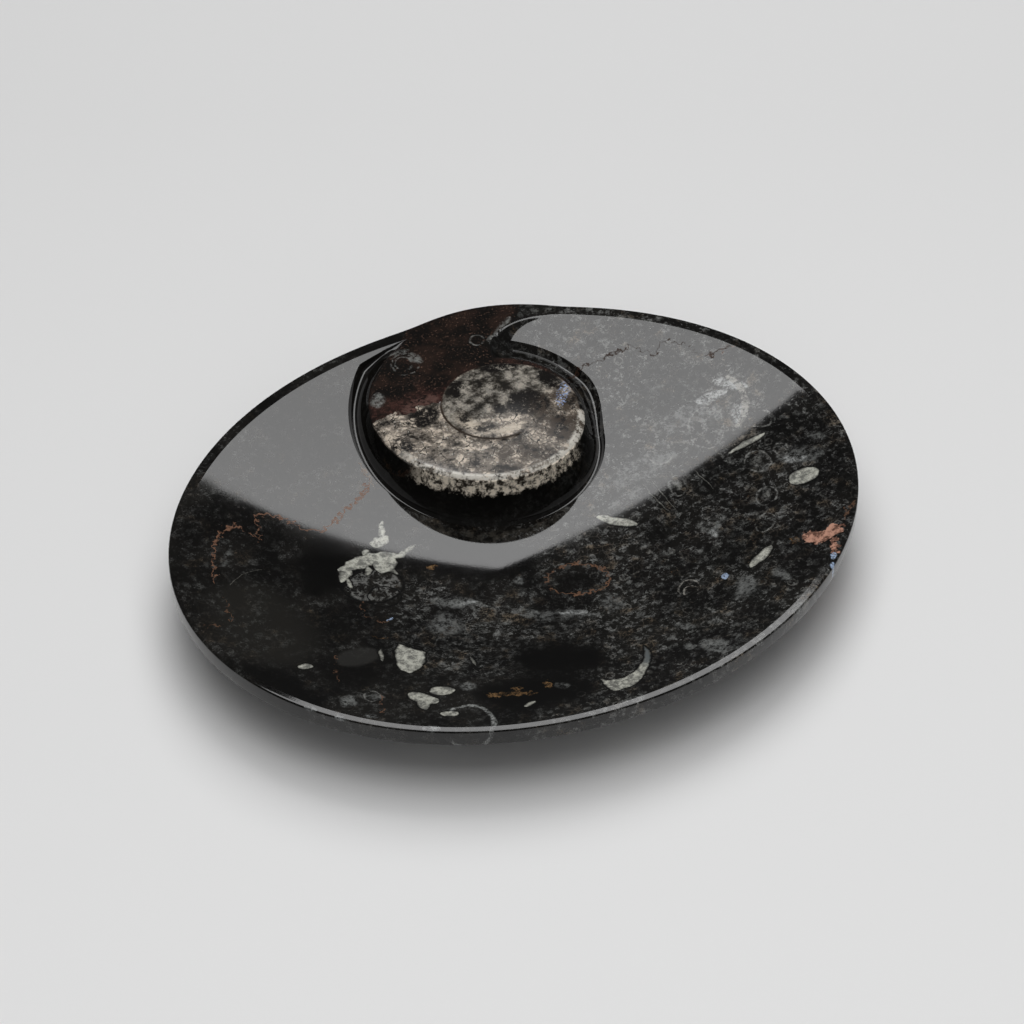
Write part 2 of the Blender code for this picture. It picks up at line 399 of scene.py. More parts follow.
def spoke(turn):
    points = [(x, y, top_height(x, y)) for x, y in upper_rings(turn)]
    for inset, height in lip_profile(lip_width(turn)):
        x, y = outline_inset(turn, inset)
        points.append((x, y, height))
    x, y = outline_inset(turn, EDGE_ROUND)
    for i in range(1, UNDERSIDE_STEPS + 1):
        rest = 1.0 - i / UNDERSIDE_STEPS
        scale = FOOT_SCALE + (1.0 - FOOT_SCALE) * rest
        points.append((x * scale, y * scale, WALL_FOOT * rest ** UNDERSIDE_POWER))
    return points


# %% [markdown]
# ## Building the dish
# One circle of edges is extruded again and again, and each new ring is moved onto the next
# place along the spokes. The result is a closed skin of even quads, which a mirror finish
# needs, because a reflection shows every kink in the mesh under it.

# %% Extrude the rings
UV_TOP = (0.02, 0.09, 0.955)
UV_UNDER = (0.03, 0.005, 0.13)
UV_WALL = (0.2, 0.78, 0.05, 0.01)


def extrude_ring(bm, ring):
    """Extrude a closed ring of edges and return the new ring in the same order."""
    count = len(ring)
    edges = [bm.edges.get((ring[i], ring[(i + 1) % count])) for i in range(count)]
    made = bmesh.ops.extrude_edge_only(bm, edges=edges)["geom"]
    fresh = {item for item in made if isinstance(item, bmesh.types.BMVert)}
    following = []
    for vert in ring:
        beside = [edge.other_vert(vert) for edge in vert.link_edges]
        following.append(next(other for other in beside if other in fresh))
    return following


def unwrap(bm, places, wall_top, wall_foot):
    """Lay the polished top flat, the wall as a strip and the underside small beside it."""
    layer = bm.loops.layers.uv.new("OFBake")
    for face in bm.faces:
        levels = [places[vert][0] for vert in face.verts]
        turns = [places[vert][1] for vert in face.verts]
        for loop in face.loops:
            level, i = places[loop.vert]
            across = loop.vert.co.x / (2.0 * HALF_LENGTH) + 0.5
            up = loop.vert.co.y / (2.0 * HALF_LENGTH) + 0.5
            if wall_top < max(levels) and min(levels) < wall_foot:
                along = SEGMENTS if i == 0 and max(turns) == SEGMENTS - 1 else i
                left, length, low, rise = UV_WALL
                loop[layer].uv = (left + length * along / SEGMENTS, low + rise * (level - wall_top))
            else:
                left, low, scale = UV_TOP if max(levels) <= wall_top else UV_UNDER
                loop[layer].uv = (left + scale * across, low + scale * up)


def build_dish():
    spokes = [spoke(spoke_turn(i)) for i in range(SEGMENTS)]
    lip_level = len(upper_rings(0.0))
    bm = bmesh.new()
    bmesh.ops.create_circle(bm, cap_ends=True, cap_tris=True, segments=SEGMENTS, radius=1.0)
    hub = next(v for v in bm.verts if v.co.length < 0.5)
    places = {hub: (-1, 0)}
    ring = sorted((v for v in bm.verts if v is not hub), key=lambda v: math.atan2(v.co.y, v.co.x))
    hub.co = (SHELL_X, SHELL_Y, top_height(SHELL_X, SHELL_Y))
    for level in range(len(spokes[0])):
        if level:
            ring = extrude_ring(bm, ring)
        for i, (vert, points) in enumerate(zip(ring, spokes)):
            vert.co = points[level]
            places[vert] = (level, i)
        if level == lip_level:
            lip_edges = [bm.edges.get((ring[i - 1], ring[i])) for i in range(SEGMENTS)]
    bmesh.ops.contextual_create(bm, geom=ring)
    bmesh.ops.recalc_face_normals(bm, faces=bm.faces)
    for face in bm.faces:
        face.smooth = True
    for edge in bm.edges:
        edge.smooth = edge.calc_face_angle() < SHARP_ANGLE
    for edge in lip_edges:
        edge.smooth = False
    xs = [v.co.x for v in bm.verts]
    ys = [v.co.y for v in bm.verts]
    middle = Vector((0.5 * (min(xs) + max(xs)), 0.5 * (min(ys) + max(ys)), 0.0))
    bmesh.ops.translate(bm, verts=bm.verts, vec=-middle)
    wall_top = lip_level + LIP_STEPS + ROUND_STEPS
    unwrap(bm, places, wall_top, wall_top + 2)
    bmesh.ops.scale(bm, verts=bm.verts, vec=(MM, MM, MM))
    mesh = bpy.data.meshes.new("fossil_dish")
    bm.to_mesh(mesh)
    bm.free()
    return mesh


dish_mesh = build_dish()
dish = bpy.data.objects.new("fossil_dish", dish_mesh)
bpy.context.scene.collection.objects.link(dish)
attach(dish, "root")
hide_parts("fossil_plate")
print("dish faces:", len(dish_mesh.polygons))

# %% [markdown]
# ## Wiring the stone
# The stone is one material, because the dish is one piece of rock. Its patterns are solid:
# they read the place of each point in millimetres, so they run over the lip and down the
# wall as real fossils do. A few short helpers keep the long chain of nodes readable.

# %% Short helpers for shader nodes
def new_material(name, mesh):
    made = bpy.data.materials.new(name)
    made.use_nodes = True
    mesh.materials.append(made)
    return made


material = new_material("polished_fossil_limestone", dish_mesh)


def node(kind):
    """A new node in the material that is being painted."""
    return material.node_tree.nodes.new("ShaderNode" + kind)


def feed(socket, value):
    """Link a socket to another node, or give it a plain value."""
    if isinstance(value, bpy.types.NodeSocket):
        material.node_tree.links.new(value, socket)
    else:
        socket.default_value = value


def maths(operation, *values):
    made = node("Math")
    made.operation = operation
    for socket, value in zip(made.inputs, values):
        feed(socket, value)
    return made.outputs[0]


def vectors(operation, *values):
    made = node("VectorMath")
    made.operation = operation
    for socket, value in zip(made.inputs, values):
        feed(socket, value)
    return made.outputs["Value" if operation in {"LENGTH", "DISTANCE", "DOT_PRODUCT"} else "Vector"]


def step(value, low, high, kind="SMOOTHSTEP"):
    """A step from 0 at low to 1 at high."""
    made = node("MapRange")
    made.interpolation_type = kind
    feed(made.inputs["Value"], value)
    feed(made.inputs["From Min"], low)
    feed(made.inputs["From Max"], high)
    return made.outputs["Result"]


def near(value, middle, inner, outer):
    """1 within inner of a middle value, fading to 0 at outer."""
    return step(maths("ABSOLUTE", minus(value, middle)), outer, inner)


def fold(operation, values):
    """Join values two at a time, so that each node follows what it reads."""
    whole = None
    for value in values:
        whole = value if whole is None else maths(operation, whole, value)
    return whole


def times(*values):
    return fold("MULTIPLY", values)


def times_plus(value, factor, base):
    return maths("MULTIPLY_ADD", value, factor, base)


def minus(value, other):
    return maths("SUBTRACT", value, other)


def flattened(value):
    """A place without its height."""
    return vectors("MULTIPLY", value, (1.0, 1.0, 0.0))


def least(*values):
    return fold("MINIMUM", values)


def most(values):
    return fold("MAXIMUM", values)


def blend(amount, under, over):
    """Lay one colour over another."""
    made = node("Mix")
    made.data_type = "RGBA"
    feed(made.inputs[0], amount)
    for socket, colour in ((made.inputs[6], under), (made.inputs[7], over)):
        feed(socket, colour if isinstance(colour, bpy.types.NodeSocket) else (*colour, 1.0))
    return made.outputs[2]


# %% [markdown]
# ## Clouds, cells and threads
# Three patterns make nearly everything here. Smooth noise gives clouds, cells give broken
# pieces, and the line where a cloud crosses its middle value gives threads. Each helper takes
# its size in millimetres, so the fossils can be measured with a ruler.

# %% Helpers for cloudy and broken patterns
def cloud(place, size, detail=2.0, colour=False, grit=0.5):
    """Noise whose lumps are about this many millimetres across; grit strengthens the finest."""
    made = node("TexNoise")
    feed(made.inputs["Vector"], place)
    feed(made.inputs["Scale"], 1.0 / size)
    feed(made.inputs["Detail"], detail)
    feed(made.inputs["Roughness"], grit)
    return made.outputs["Color" if colour else "Fac"]


def pieces(place, size, feature="F1"):
    """Broken cells of about this size: distance and a random colour for each."""
    made = node("TexVoronoi")
    made.feature = feature
    feed(made.inputs["Vector"], place)
    feed(made.inputs["Scale"], 1.0 / size)
    return made.outputs


def threads(place, size, width):
    """Thin wandering lines, where a cloud crosses its middle value."""
    return near(cloud(place, size), 0.5, 0.0, width)


def split(value, kind="SeparateColor"):
    """The three numbers of a colour, or of a place."""
    made = node(kind)
    feed(made.inputs[0], value)
    return made.outputs


def wobble(place, size):
    """A random push in all three directions, half a unit at most."""
    noise = split(cloud(place, size, 4.0, colour=True))
    joined = node("CombineXYZ")
    for socket, part in zip(joined.inputs, noise):
        feed(socket, part)
    return vectors("SUBTRACT", joined.outputs[0], (0.5, 0.5, 0.5))


# %% [markdown]
# ## Places on the stone
# Two wobbles bend the coordinates, so no fossil has a drawn, perfect edge: a gentle one for
# the outlines and a rough one for the ragged seams. A flat copy without height lets one
# mark show on the bowl, the lip and the wall below it.

# %% Set up the coordinates
TO_THE_RIGHT = (0.852, -0.524, 0.0)
AWAY = (0.524, 0.852, 0.0)
coordinates = node("TexCoord")
place = vectors("MULTIPLY", coordinates.outputs["Object"], (1000.0, 1000.0, 1000.0))


def bend(push, amount):
    return vectors("MULTIPLY_ADD", push, (amount, amount, amount), place)


gentle = wobble(place, 2.4)
bent = bend(gentle, 2.2)
soft = bend(gentle, 1.3)
flat = flattened(soft)
ragged = flattened(bend(wobble(place, 1.3), 4.5))
loose = flattened(bent)
solid = vectors("SUBTRACT", soft, (0.0, 0.0, RIM_HEIGHT))
grain = cloud(place, 0.4, 3.0)
speck = cloud(place, 0.6, 4.0, grit=0.75)
gritty = cloud(place, 1.7, 4.0, grit=0.8)
broken = cloud(place, 1.6, 2.0)
spread = cloud(place, 4.0, 2.0)
slow = cloud(place, 12.0, 3.0)
print("wobbles and shared noises ready")


def oval(x, y, length, width, turn, where=None):
    """Distance in from the rim of an oval, drawn as with two pins and a loop of thread."""
    pin = math.sqrt(length * length - width * width)
    dx = pin * math.cos(math.radians(turn))
    dy = pin * math.sin(math.radians(turn))
    sharp = length / width
    first = vectors("DISTANCE", where or flat, (x - dx, y - dy, 0.0))
    first = times_plus(first, -0.5 * sharp, length * sharp)
    second = vectors("DISTANCE", where or flat, (x + dx, y + dy, 0.0))
    return times_plus(second, -0.5 * sharp, first)


def ovals(shapes, where=None):
    return most(oval(*shape, where=where) for shape in shapes)


def ring(shape, line, where=None):
    """A thin closed line along the rim of an oval."""
    return minus(line, maths("ABSOLUTE", oval(*shape, where=where)))


def rings(shapes, line, where=None):
    return most(ring(shape, line, where) for shape in shapes)


def outside(*shape):
    return times(oval(*shape), -1.0)


def crescent(outer, inner):
    """One oval with another bitten out of it."""
    return least(oval(*outer), outside(*inner))


# %% [markdown]
# ## Black limestone full of broken shells
# Between the large fossils the rock is a black mud packed with shell crumbs. It is dense
# on the right and in the middle of the front, streaky where the mud flowed, and nearly
# empty on the left. Four patterns are added up and a map of ovals says how much shows.

# %% Ground of the stone
tone = step(slow, 0.38, 0.66)
ground = blend(tone, (0.003, 0.0028, 0.0026), (0.0085, 0.0078, 0.0068))
smooth_left = step(oval(-61.0, -0.5, 15.0, 11.5, 89), -3.0, 6.0)
ground = blend(smooth_left, ground, (0.0125, 0.0118, 0.0102))

# %% [markdown]
# ### Shell crumbs
# Crumbs are single cells of a broken pattern, picked at random and worn down by a fine
# grain. Curled threads stand for shells cut across, and grit for shell dust. Adding the
# amounts, instead of layering colours, keeps one number that says how much shell shows.

# %% Shell crumbs
shards = pieces(bent, 1.7)
picked = step(split(shards["Color"])["Red"], 0.7, 1.0)
crumbs = times(picked, step(shards["Distance"], 0.62, 0.3), step(grain, 0.3, 0.62))
cracks = pieces(bent, 2.2, "DISTANCE_TO_EDGE")["Distance"]
edges = step(cracks, 0.07, 0.015)
patchy = step(spread, 0.45, 0.62)
edges = times(edges, patchy)
curls = times(threads(bent, 1.8, 0.022), step(broken, 0.42, 0.58))
fine = step(grain, 0.48, 0.7)
hash_amount = times_plus(crumbs, 0.8, times(edges, 0.24))
hash_amount = times_plus(curls, 0.22, hash_amount)
grit_amount = step(gritty, 0.51, 0.64)
dust = times(fine, grit_amount)
hash_amount = times_plus(grit_amount, 0.6, hash_amount)
hash_amount = times_plus(dust, 1.3, hash_amount)

# %% [markdown]
# ### Streaks along the bedding
# Soft mud flowed before it set and drew the crumbs out into streaks. The same threads are
# stretched more than three times along the bedding, which runs across the front of the dish.

# %% Streaks along the bedding
BEDDING_TURN = math.radians(-31.0)
bedding = node("Mapping")
bedding.vector_type = "TEXTURE"
feed(bedding.inputs["Vector"], bent)
feed(bedding.inputs["Rotation"], (0.0, 0.0, BEDDING_TURN))
feed(bedding.inputs["Scale"], (3.4, 1.0, 1.0))
streaks = threads(bedding.outputs[0], 1.15, 0.045)
streaks = times(streaks, step(broken, 0.4, 0.6))
streaky = step(oval(-23.0, -23.5, 21.0, 16.0, -31), -3.0, 6.0)
hash_amount = times_plus(times(streaks, streaky), 0.5, hash_amount)

# %% [markdown]
# ### Dense and empty places
# A slope from left to right and a few large ovals say how much of the crumb pattern shows.
# Empty spots are pure black mud. A map like this matters more than the pattern itself,
# because the eye reads the dark gaps first.

# %% Where the crumbs are dense
across = vectors("DOT_PRODUCT", place, TO_THE_RIGHT)
density = times_plus(step(across, -6.0, 16.0), 0.55, 0.22)
left_bank = step(oval(-27.0, -9.0, 10.5, 7.0, 58), -1.5, 3.0)
right_bank = step(oval(57.0, 4.0, 16.0, 9.5, 51), -3.0, 3.0)
density = most((density, times(streaky, 0.75), times(left_bank, 0.8), right_bank))
EMPTY_SPOTS = (
    (-67.4, -20.4, 9.5, 2.8, -66), (-52.4, -22.2, 5.6, 3.2, -21), (-23.9, -45.9, 12.0, 6.2, -28),
    (-13.1, -38.1, 9.1, 5.9, -34), (-39.5, 12.0, 11.0, 5.5, 49), (-9.4, -0.8, 11.0, 5.0, -30),
    (4.3, -17.0, 4.6, 2.8, -29),
)
empty = step(ovals(EMPTY_SPOTS, loose), -3.5, 3.5)
density = times(density, minus(1.0, times(empty, 0.95)))
lumpy = times_plus(step(slow, 0.42, 0.58), 0.7, 0.42)
density = times(density, minus(lumpy, times(smooth_left, 0.4)))
hash_amount = times(hash_amount, times(density, 1.15))
warm = step(spread, 0.5, 0.7)
crumb_colour = blend(warm, (0.135, 0.137, 0.132), (0.115, 0.092, 0.066))
colour = blend(hash_amount, ground, crumb_colour)
ochre_specks = times(step(grain, 0.64, 0.74), warm, density)
colour = blend(ochre_specks, colour, (0.11, 0.06, 0.032))
colour = blend(times(empty, 0.9), colour, (0.0012, 0.0011, 0.001))

# %% [markdown]
# ### Sea-lily stems
# A sea lily's stem is a stack of small discs, so a cut through it is a ring. Cells whose
# distance from the middle lies near one value give rings, and only a few cells keep theirs.

# %% Small round sea-lily stems
stems = pieces(soft, 4.2)
stem_line = near(stems["Distance"], 0.23, 0.02, 0.06)
picked = step(split(stems["Color"])["Red"], 0.72, 0.8)
stem_line = times(stem_line, picked, step(grain, 0.38, 0.62))
colour = blend(times(stem_line, density), colour, (0.11, 0.108, 0.1))

# %% [markdown]
# ## Large fossils
# Each cut shell or sea-lily piece is an oval, a ring, or an oval with a bite taken out,
# placed where the photograph shows it. A row of a table is the middle of one oval, half its
# length and width in millimetres, and its turn in degrees. Grey fossils are laid first, then
# the round shells, the pale calcite in its black rims, and last the coloured minerals.

# %% Grey fossils
GREY_OVALS = (
    (-33.9, -36.5, 1.6, 1.5, 61), (13.4, -55.0, 4.0, 2.5, -69), (9.4, -51.5, 1.3, 1.1, 61),
    (-5.9, -10.7, 1.3, 1.1, 59), (-18.1, -46.9, 1.5, 1.0, -54), (-57.7, -30.3, 2.4, 1.7, 33),
    (54.8, 7.7, 2.2, 1.9, -64), (54.3, 17.8, 2.9, 0.6, -73), (48.3, 20.9, 2.0, 0.5, -4),
    (-52.1, -30.9, 2.0, 0.9, -24), (-10.4, -20.2, 2.9, 1.0, -33), (-20.2, -10.7, 2.9, 2.0, -26),
    (41.9, 6.9, 3.6, 0.4, -34), (54.1, 17.9, 2.9, 0.4, -75), (67.0, -13.0, 2.1, 0.9, -41),
    (34.5, -22.4, 2.0, 1.4, 77), (-23.5, -8.9, 3.0, 1.3, -57), (-25.1, -18.0, 1.8, 1.0, -28),
    (-9.2, -22.2, 2.7, 1.0, -35), (12.8, -44.7, 2.5, 1.0, -54), (27.7, -42.4, 3.3, 0.9, 43),
    (31.5, -41.0, 2.2, 0.7, 70), (36.9, -43.8, 3.0, 1.3, -89), (-58.5, 19.2, 1.7, 0.4, 15),
    (-56.6, 21.8, 1.6, 0.5, 43), (63.2, 24.4, 2.9, 0.4, 57), (37.7, -20.2, 2.6, 0.8, 32),
    (16.6, -58.0, 3.6, 0.6, 50), (34.0, -55.5, 2.6, 1.1, 12),
)
mottle = step(gritty, 0.42, 0.58)
mottle = times_plus(mottle, 0.6, times(step(speck, 0.44, 0.58), 0.4))
DIM_OVALS = (
    (-5.0, -25.1, 8.2, 1.5, -34), (5.8, -28.1, 3.1, 2.4, 67), (-26.7, -15.5, 4.1, 3.4, 51),
    (61.3, -15.1, 5.2, 2.6, -37), (30.0, -42.3, 3.8, 2.2, 62), (47.8, 10.6, 6.5, 3.0, -10),
    (33.2, 3.7, 8.9, 3.6, 0), (25.8, -1.9, 5.1, 1.8, 8),
)
dim = times(step(ovals(DIM_OVALS, loose), -1.0, 2.0), step(gritty, 0.4, 0.62))
colour = blend(dim, colour, (0.11, 0.113, 0.11))
grey = step(ovals(GREY_OVALS, loose), -0.5, 1.1)
colour = blend(times(grey, mottle), colour, (0.16, 0.165, 0.16))
LIGHT_GREYS = (
    (56.6, 11.7, 3.8, 1.4, -8), (61.6, 12.1, 3.8, 1.5, -55), (58.6, 3.9, 3.0, 1.5, 41),
    (34.5, -22.4, 1.4, 1.0, 77), (-2.0, -26.0, 3.0, 0.8, -34), (-18.6, -11.4, 1.8, 0.8, -26),
    (59.9, -15.1, 2.4, 1.2, -37),
)
light_grey = step(ovals(LIGHT_GREYS, loose), -0.4, 0.7)
colour = blend(times(light_grey, mottle), colour, (0.34, 0.35, 0.345))
WALL_MARKS = (
    (-62.3, -34.7, 1.1, 0.6, -67), (-56.3, -37.0, 1.6, 0.8, -45), (-26.3, -59.3, 1.8, 0.7, -24),
    (-48.6, -46.5, 2.0, 0.8, -32), (-65.9, -29.1, 1.5, 0.5, -54),
)
wall_marks = step(ovals(WALL_MARKS, solid), -0.4, 0.6)
colour = blend(times(wall_marks, mottle), colour, (0.24, 0.25, 0.25))
dull_oval = step(oval(-48.3, -17.1, 4.8, 3.1, 3), -0.3, 1.0)
colour = blend(times(dull_oval, 0.8), colour, (0.022, 0.0215, 0.02))

# %% [markdown]
# ### Round shells cut across
# A round shell shows as a closed line. The distance in from an oval's rim is zero on the
# line, so taking the size of that distance gives an outline of any width. Bites taken out
# of a ring leave the arcs and the claw.

# %% Round shells cut across
speckled = times(step(oval(-33.4, 2.2, 6.1, 5.0, -11), 0.0, 0.6), step(gritty, 0.48, 0.6))
colour = blend(speckled, colour, (0.12, 0.12, 0.114))
DARK_RINGS = ((-33.4, 2.4, 6.6, 5.4, -8), (-33.0, -1.9, 3.6, 3.2, 6))
dark_rings = step(rings(DARK_RINGS, 0.35), 0.0, 0.3)
colour = blend(dark_rings, colour, (0.003, 0.003, 0.003))
THIN_RINGS = (
    (36.9, -5.3, 3.0, 1.8, 66), (44.4, -27.1, 2.9, 1.9, 39), (49.3, -20.4, 2.8, 2.2, 39),
    (59.4, -10.8, 1.7, 1.4, 74), (-52.6, -30.6, 1.9, 1.5, 32), (53.7, -10.2, 3.2, 2.6, 81),
    (60.9, -0.1, 2.9, 2.4, -64), (38.6, 4.3, 2.4, 2.0, -52), (51.0, 5.0, 5.8, 3.8, 62),
)
thin = times(step(rings(THIN_RINGS, 0.4), 0.0, 0.4), step(broken, 0.36, 0.56))
colour = blend(times(thin, mottle), colour, (0.2, 0.2, 0.19))
CORES = (
    (36.9, -5.3, 1.5, 0.9, 66), (49.3, -20.4, 1.4, 1.0, 39), (53.7, -10.2, 1.5, 1.2, 81),
)
cores = step(ovals(CORES), -0.3, 0.5)
colour = blend(times(cores, mottle), colour, (0.16, 0.16, 0.15))
claw = least(ring((57.1, 8.4, 8.0, 5.0, 62), 0.9), oval(60.5, 8.0, 8.5, 3.4, 58))
TAN_RINGS = ((20.7, -34.6, 3.3, 2.3, 66), (20.4, -35.6, 2.2, 1.4, 66))
tan_arcs = least(rings(TAN_RINGS, 0.28), oval(21.5, -32.5, 4.0, 3.0, 61))
lip_ring = ring((-40.8, -48.5, 7.6, 4.9, 60), 0.55, solid)
lip_ring = least(lip_ring, outside(-46.5, -45.5, 5.0, 4.0, 60))
left_arc = ring((-56.7, 7.3, 9.8, 7.1, 36), 0.12)
left_arc = least(left_arc, oval(-56.5, 15.0, 5.0, 3.0, 10))
arcs = step(most((claw, tan_arcs, left_arc)), -0.05, 0.3)
colour = blend(times(arcs, mottle), colour, (0.26, 0.25, 0.225))
colour = blend(times(step(lip_ring, -0.1, 0.4), mottle), colour, (0.3, 0.31, 0.3))

# %% [markdown]
# ### Pale calcite
# The palest fossils were filled with white calcite and stand out against a thin black rim.
# The crescents are one oval cut by another, and the star is a handful of rough ovals laid
# over each other, with a dark hole through it.

# %% Pale calcite
PALE_OVALS = (
    (-42.3, -43.6, 2.0, 1.1, -31), (-39.2, -35.3, 2.5, 1.6, -28), (-44.0, -35.9, 3.4, 1.8, -57),
    (-44.6, -37.3, 2.7, 1.4, 59), (37.5, -35.7, 3.9, 1.15, 20), (58.3, -20.9, 3.4, 2.3, -11),
    (55.1, -4.3, 4.6, 0.8, -2), (-26.9, -49.0, 1.6, 0.6, 11), (-59.5, -15.9, 1.6, 0.9, -11),
    (-43.6, -18.5, 2.1, 0.5, 65), (31.2, -5.0, 5.8, 0.16, 89), (33.1, -5.4, 5.9, 0.14, 85),
    (42.2, -7.4, 3.6, 0.14, 92), (-28.3, -29.2, 1.6, 0.35, 75),
)
tooth = minus(vectors("DOT_PRODUCT", soft, (-0.842, -0.54, 0.0)), 41.21)
tooth = least(tooth, oval(-38.3, -21.2, 6.2, 3.1, 56))
tooth = least(tooth, outside(-33.4, -20.4, 1.5, 1.1, 30))
big_crescent = crescent((-4.2, -43.6, 13.4, 7.8, 61), (-3.7, -41.6, 11.0, 7.2, 63))
big_crescent = least(big_crescent, oval(-4.3, -49.8, 9.9, 6.0, 62))
light_crescent = crescent((21.0, -6.3, 4.6, 1.3, -52), (22.2, -4.6, 3.6, 1.0, -52))
STAR_ARMS = (
    (-31.6, 9.6, 6.0, 1.7, 4), (-27.2, 7.6, 3.6, 2.4, 40), (-22.6, 8.6, 3.8, 0.8, 14),
    (-37.0, 7.6, 2.6, 1.0, 35), (-37.6, 5.6, 2.2, 0.6, 80), (-27.4, 4.6, 1.8, 0.6, -70),
    (-32.0, 6.8, 1.4, 0.7, 60), (-29.6, 11.8, 1.2, 0.7, 10), (-23.4, 16.0, 3.4, 0.8, 59),
    (-25.2, 13.6, 2.6, 1.3, 10),
)
pale = most((ovals(PALE_OVALS), ovals(STAR_ARMS, loose), tooth, big_crescent, light_crescent))
black_rim = times(step(pale, -0.6, -0.1), step(pale, 0.1, -0.1))
colour = blend(black_rim, colour, (0.0025, 0.0025, 0.0025))
pale_tone = blend(step(gritty, 0.38, 0.62), (0.13, 0.13, 0.118), (0.44, 0.44, 0.385))
grey_tip = step(oval(3.6, -46.5, 7.0, 5.0, 60), -1.0, 3.0)
pale_tone = blend(grey_tip, pale_tone, (0.09, 0.1, 0.102))
pale_mask = step(pale, -0.1, 0.45)
pale_tone = blend(times(step(speck, 0.56, 0.64), 0.6), pale_tone, (0.07, 0.07, 0.06))
colour = blend(pale_mask, colour, pale_tone)
star_hole = step(oval(-27.6, 11.6, 1.2, 0.8, -10), -0.3, 0.4)
colour = blend(star_hole, colour, (0.004, 0.004, 0.004))

# %% [markdown]
# ### Rusty, pink and blue minerals
# Iron stained a few cracks orange and one pocket at the right pink. They use the roughest
# wobble, which breaks a plain oval into the torn shape of a mineral filling.

# %% Rusty, pink and blue minerals
OCHRE_OVALS = (
    (-28.1, -43.6, 5.0, 0.6, -34), (-31.4, -42.1, 1.3, 0.9, -51), (-26.2, -42.9, 1.1, 1.0, 68),
    (-20.2, -44.8, 1.1, 0.9, 62), (-19.6, 1.8, 1.0, 0.8, 49), (45.4, -36.5, 1.1, 0.7, -64),
    (-36.9, -8.9, 1.0, 0.7, 20), (-40.5, -12.9, 1.6, 0.3, -31), (-17.7, 31.0, 4.0, 0.4, 88),
)
ochre = step(ovals(OCHRE_OVALS, ragged), -0.1, 0.5)
colour = blend(times(ochre, mottle), colour, (0.2, 0.115, 0.05))
rust_ring = ring((4.3, -17.0, 6.6, 4.9, -29), 0.36, ragged)
RUST_THREADS = (
    (-65.1, 6.0, 4.2, 0.35, 74), (-69.3, 2.4, 3.4, 0.35, -2), (-39.0, -2.7, 2.4, 0.3, 68),
    (-38.7, -7.4, 2.9, 0.3, -65), (-54.0, -18.5, 5.4, 0.35, 62), (-52.5, -34.0, 3.4, 0.5, 62),
    (56.6, -38.2, 2.8, 0.35, 45), (60.2, -35.7, 2.0, 0.3, 14), (64.9, 21.0, 3.8, 0.5, -9),
)
rust = times(step(ovals(RUST_THREADS, ragged), -0.05, 0.3), step(broken, 0.44, 0.56))
ring_rust = times(step(rust_ring, -0.05, 0.3), step(broken, 0.34, 0.46))
colour = blend(most((rust, ring_rust)), colour, (0.13, 0.07, 0.043))
PINK_OVALS = (
    (48.6, -38.5, 2.4, 2.0, 71), (51.9, -39.8, 3.0, 1.9, 3), (49.6, -44.0, 3.0, 0.9, 55),
)
pink = step(ovals(PINK_OVALS, ragged), -0.1, 0.35)
pink_tone = blend(step(gritty, 0.4, 0.58), (0.1, 0.05, 0.035), (0.46, 0.25, 0.18))
colour = blend(pink, colour, pink_tone)
BLUE_OVALS = (
    (47.9, -46.8, 1.2, 0.7, 43), (46.0, -48.9, 0.9, 0.5, 54), (28.4, -35.9, 1.1, 0.7, 57),
    (-35.7, -8.6, 1.1, 0.35, 22),
)
blue = step(ovals(BLUE_OVALS), -0.1, 0.25)
colour = blend(times(blue, step(grain, 0.35, 0.55)), colour, (0.3, 0.38, 0.52))

# %% [markdown]
# ## Pressure seams
# Two ragged brown seams cross the stone. Each is one curve of height against length, read
# through the rough wobble, which breaks it into the fine teeth that such seams have.

# %% Draw the two seams
def seam_line(points, line):
    """Closeness to a curve through the points, given from left to right."""
    low_x = points[0][0]
    span_x = points[-1][0] - low_x
    low_y = min(y for x, y in points) - 1.0
    span_y = max(y for x, y in points) + 1.0 - low_y
    spot = split(ragged, "SeparateXYZ")
    along = maths("DIVIDE", minus(spot["X"], low_x), span_x)
    made = node("FloatCurve")
    curve = made.mapping.curves[0]
    while len(curve.points) < len(points):
        curve.points.new(0.5, 0.5)
    for knot, (x, y) in zip(curve.points, points):
        knot.location = ((x - low_x) / span_x, (y - low_y) / span_y)
        knot.handle_type = "VECTOR"
    made.mapping.update()
    feed(made.inputs["Value"], along)
    height = times_plus(made.outputs[0], span_y, low_y)
    close = near(spot["Y"], height, 0.25 * line, line)
    return times(close, step(along, 0.0, 0.01), step(along, 1.0, 0.99))


LEFT_SEAM = (
    (-63.8, 14.5), (-59.6, 22.7), (-54.8, 28.0), (-50.5, 28.6), (-48.3, 23.2), (-45.8, 29.8),
    (-43.9, 29.8), (-40.0, 26.6), (-38.4, 23.1), (-34.9, 20.9), (-31.4, 22.0), (-26.8, 24.9),
    (-23.9, 25.5), (-21.3, 27.2), (-18.4, 29.4), (-17.3, 35.4),
)
RIGHT_SEAM = (
    (33.8, 34.4), (37.0, 35.0), (42.5, 34.4), (48.0, 33.7), (49.7, 34.7), (51.2, 31.0),
    (53.0, 28.5), (56.0, 30.9), (59.9, 27.6), (61.4, 21.7), (67.9, 20.5),
)
left_seam = times(seam_line(LEFT_SEAM, 0.5), step(broken, 0.32, 0.42))
colour = blend(left_seam, colour, (0.15, 0.08, 0.052))
right_seam = times(seam_line(RIGHT_SEAM, 0.32), step(broken, 0.3, 0.44))
colour = blend(right_seam, colour, (0.03, 0.017, 0.012))
print("large fossils and seams laid")
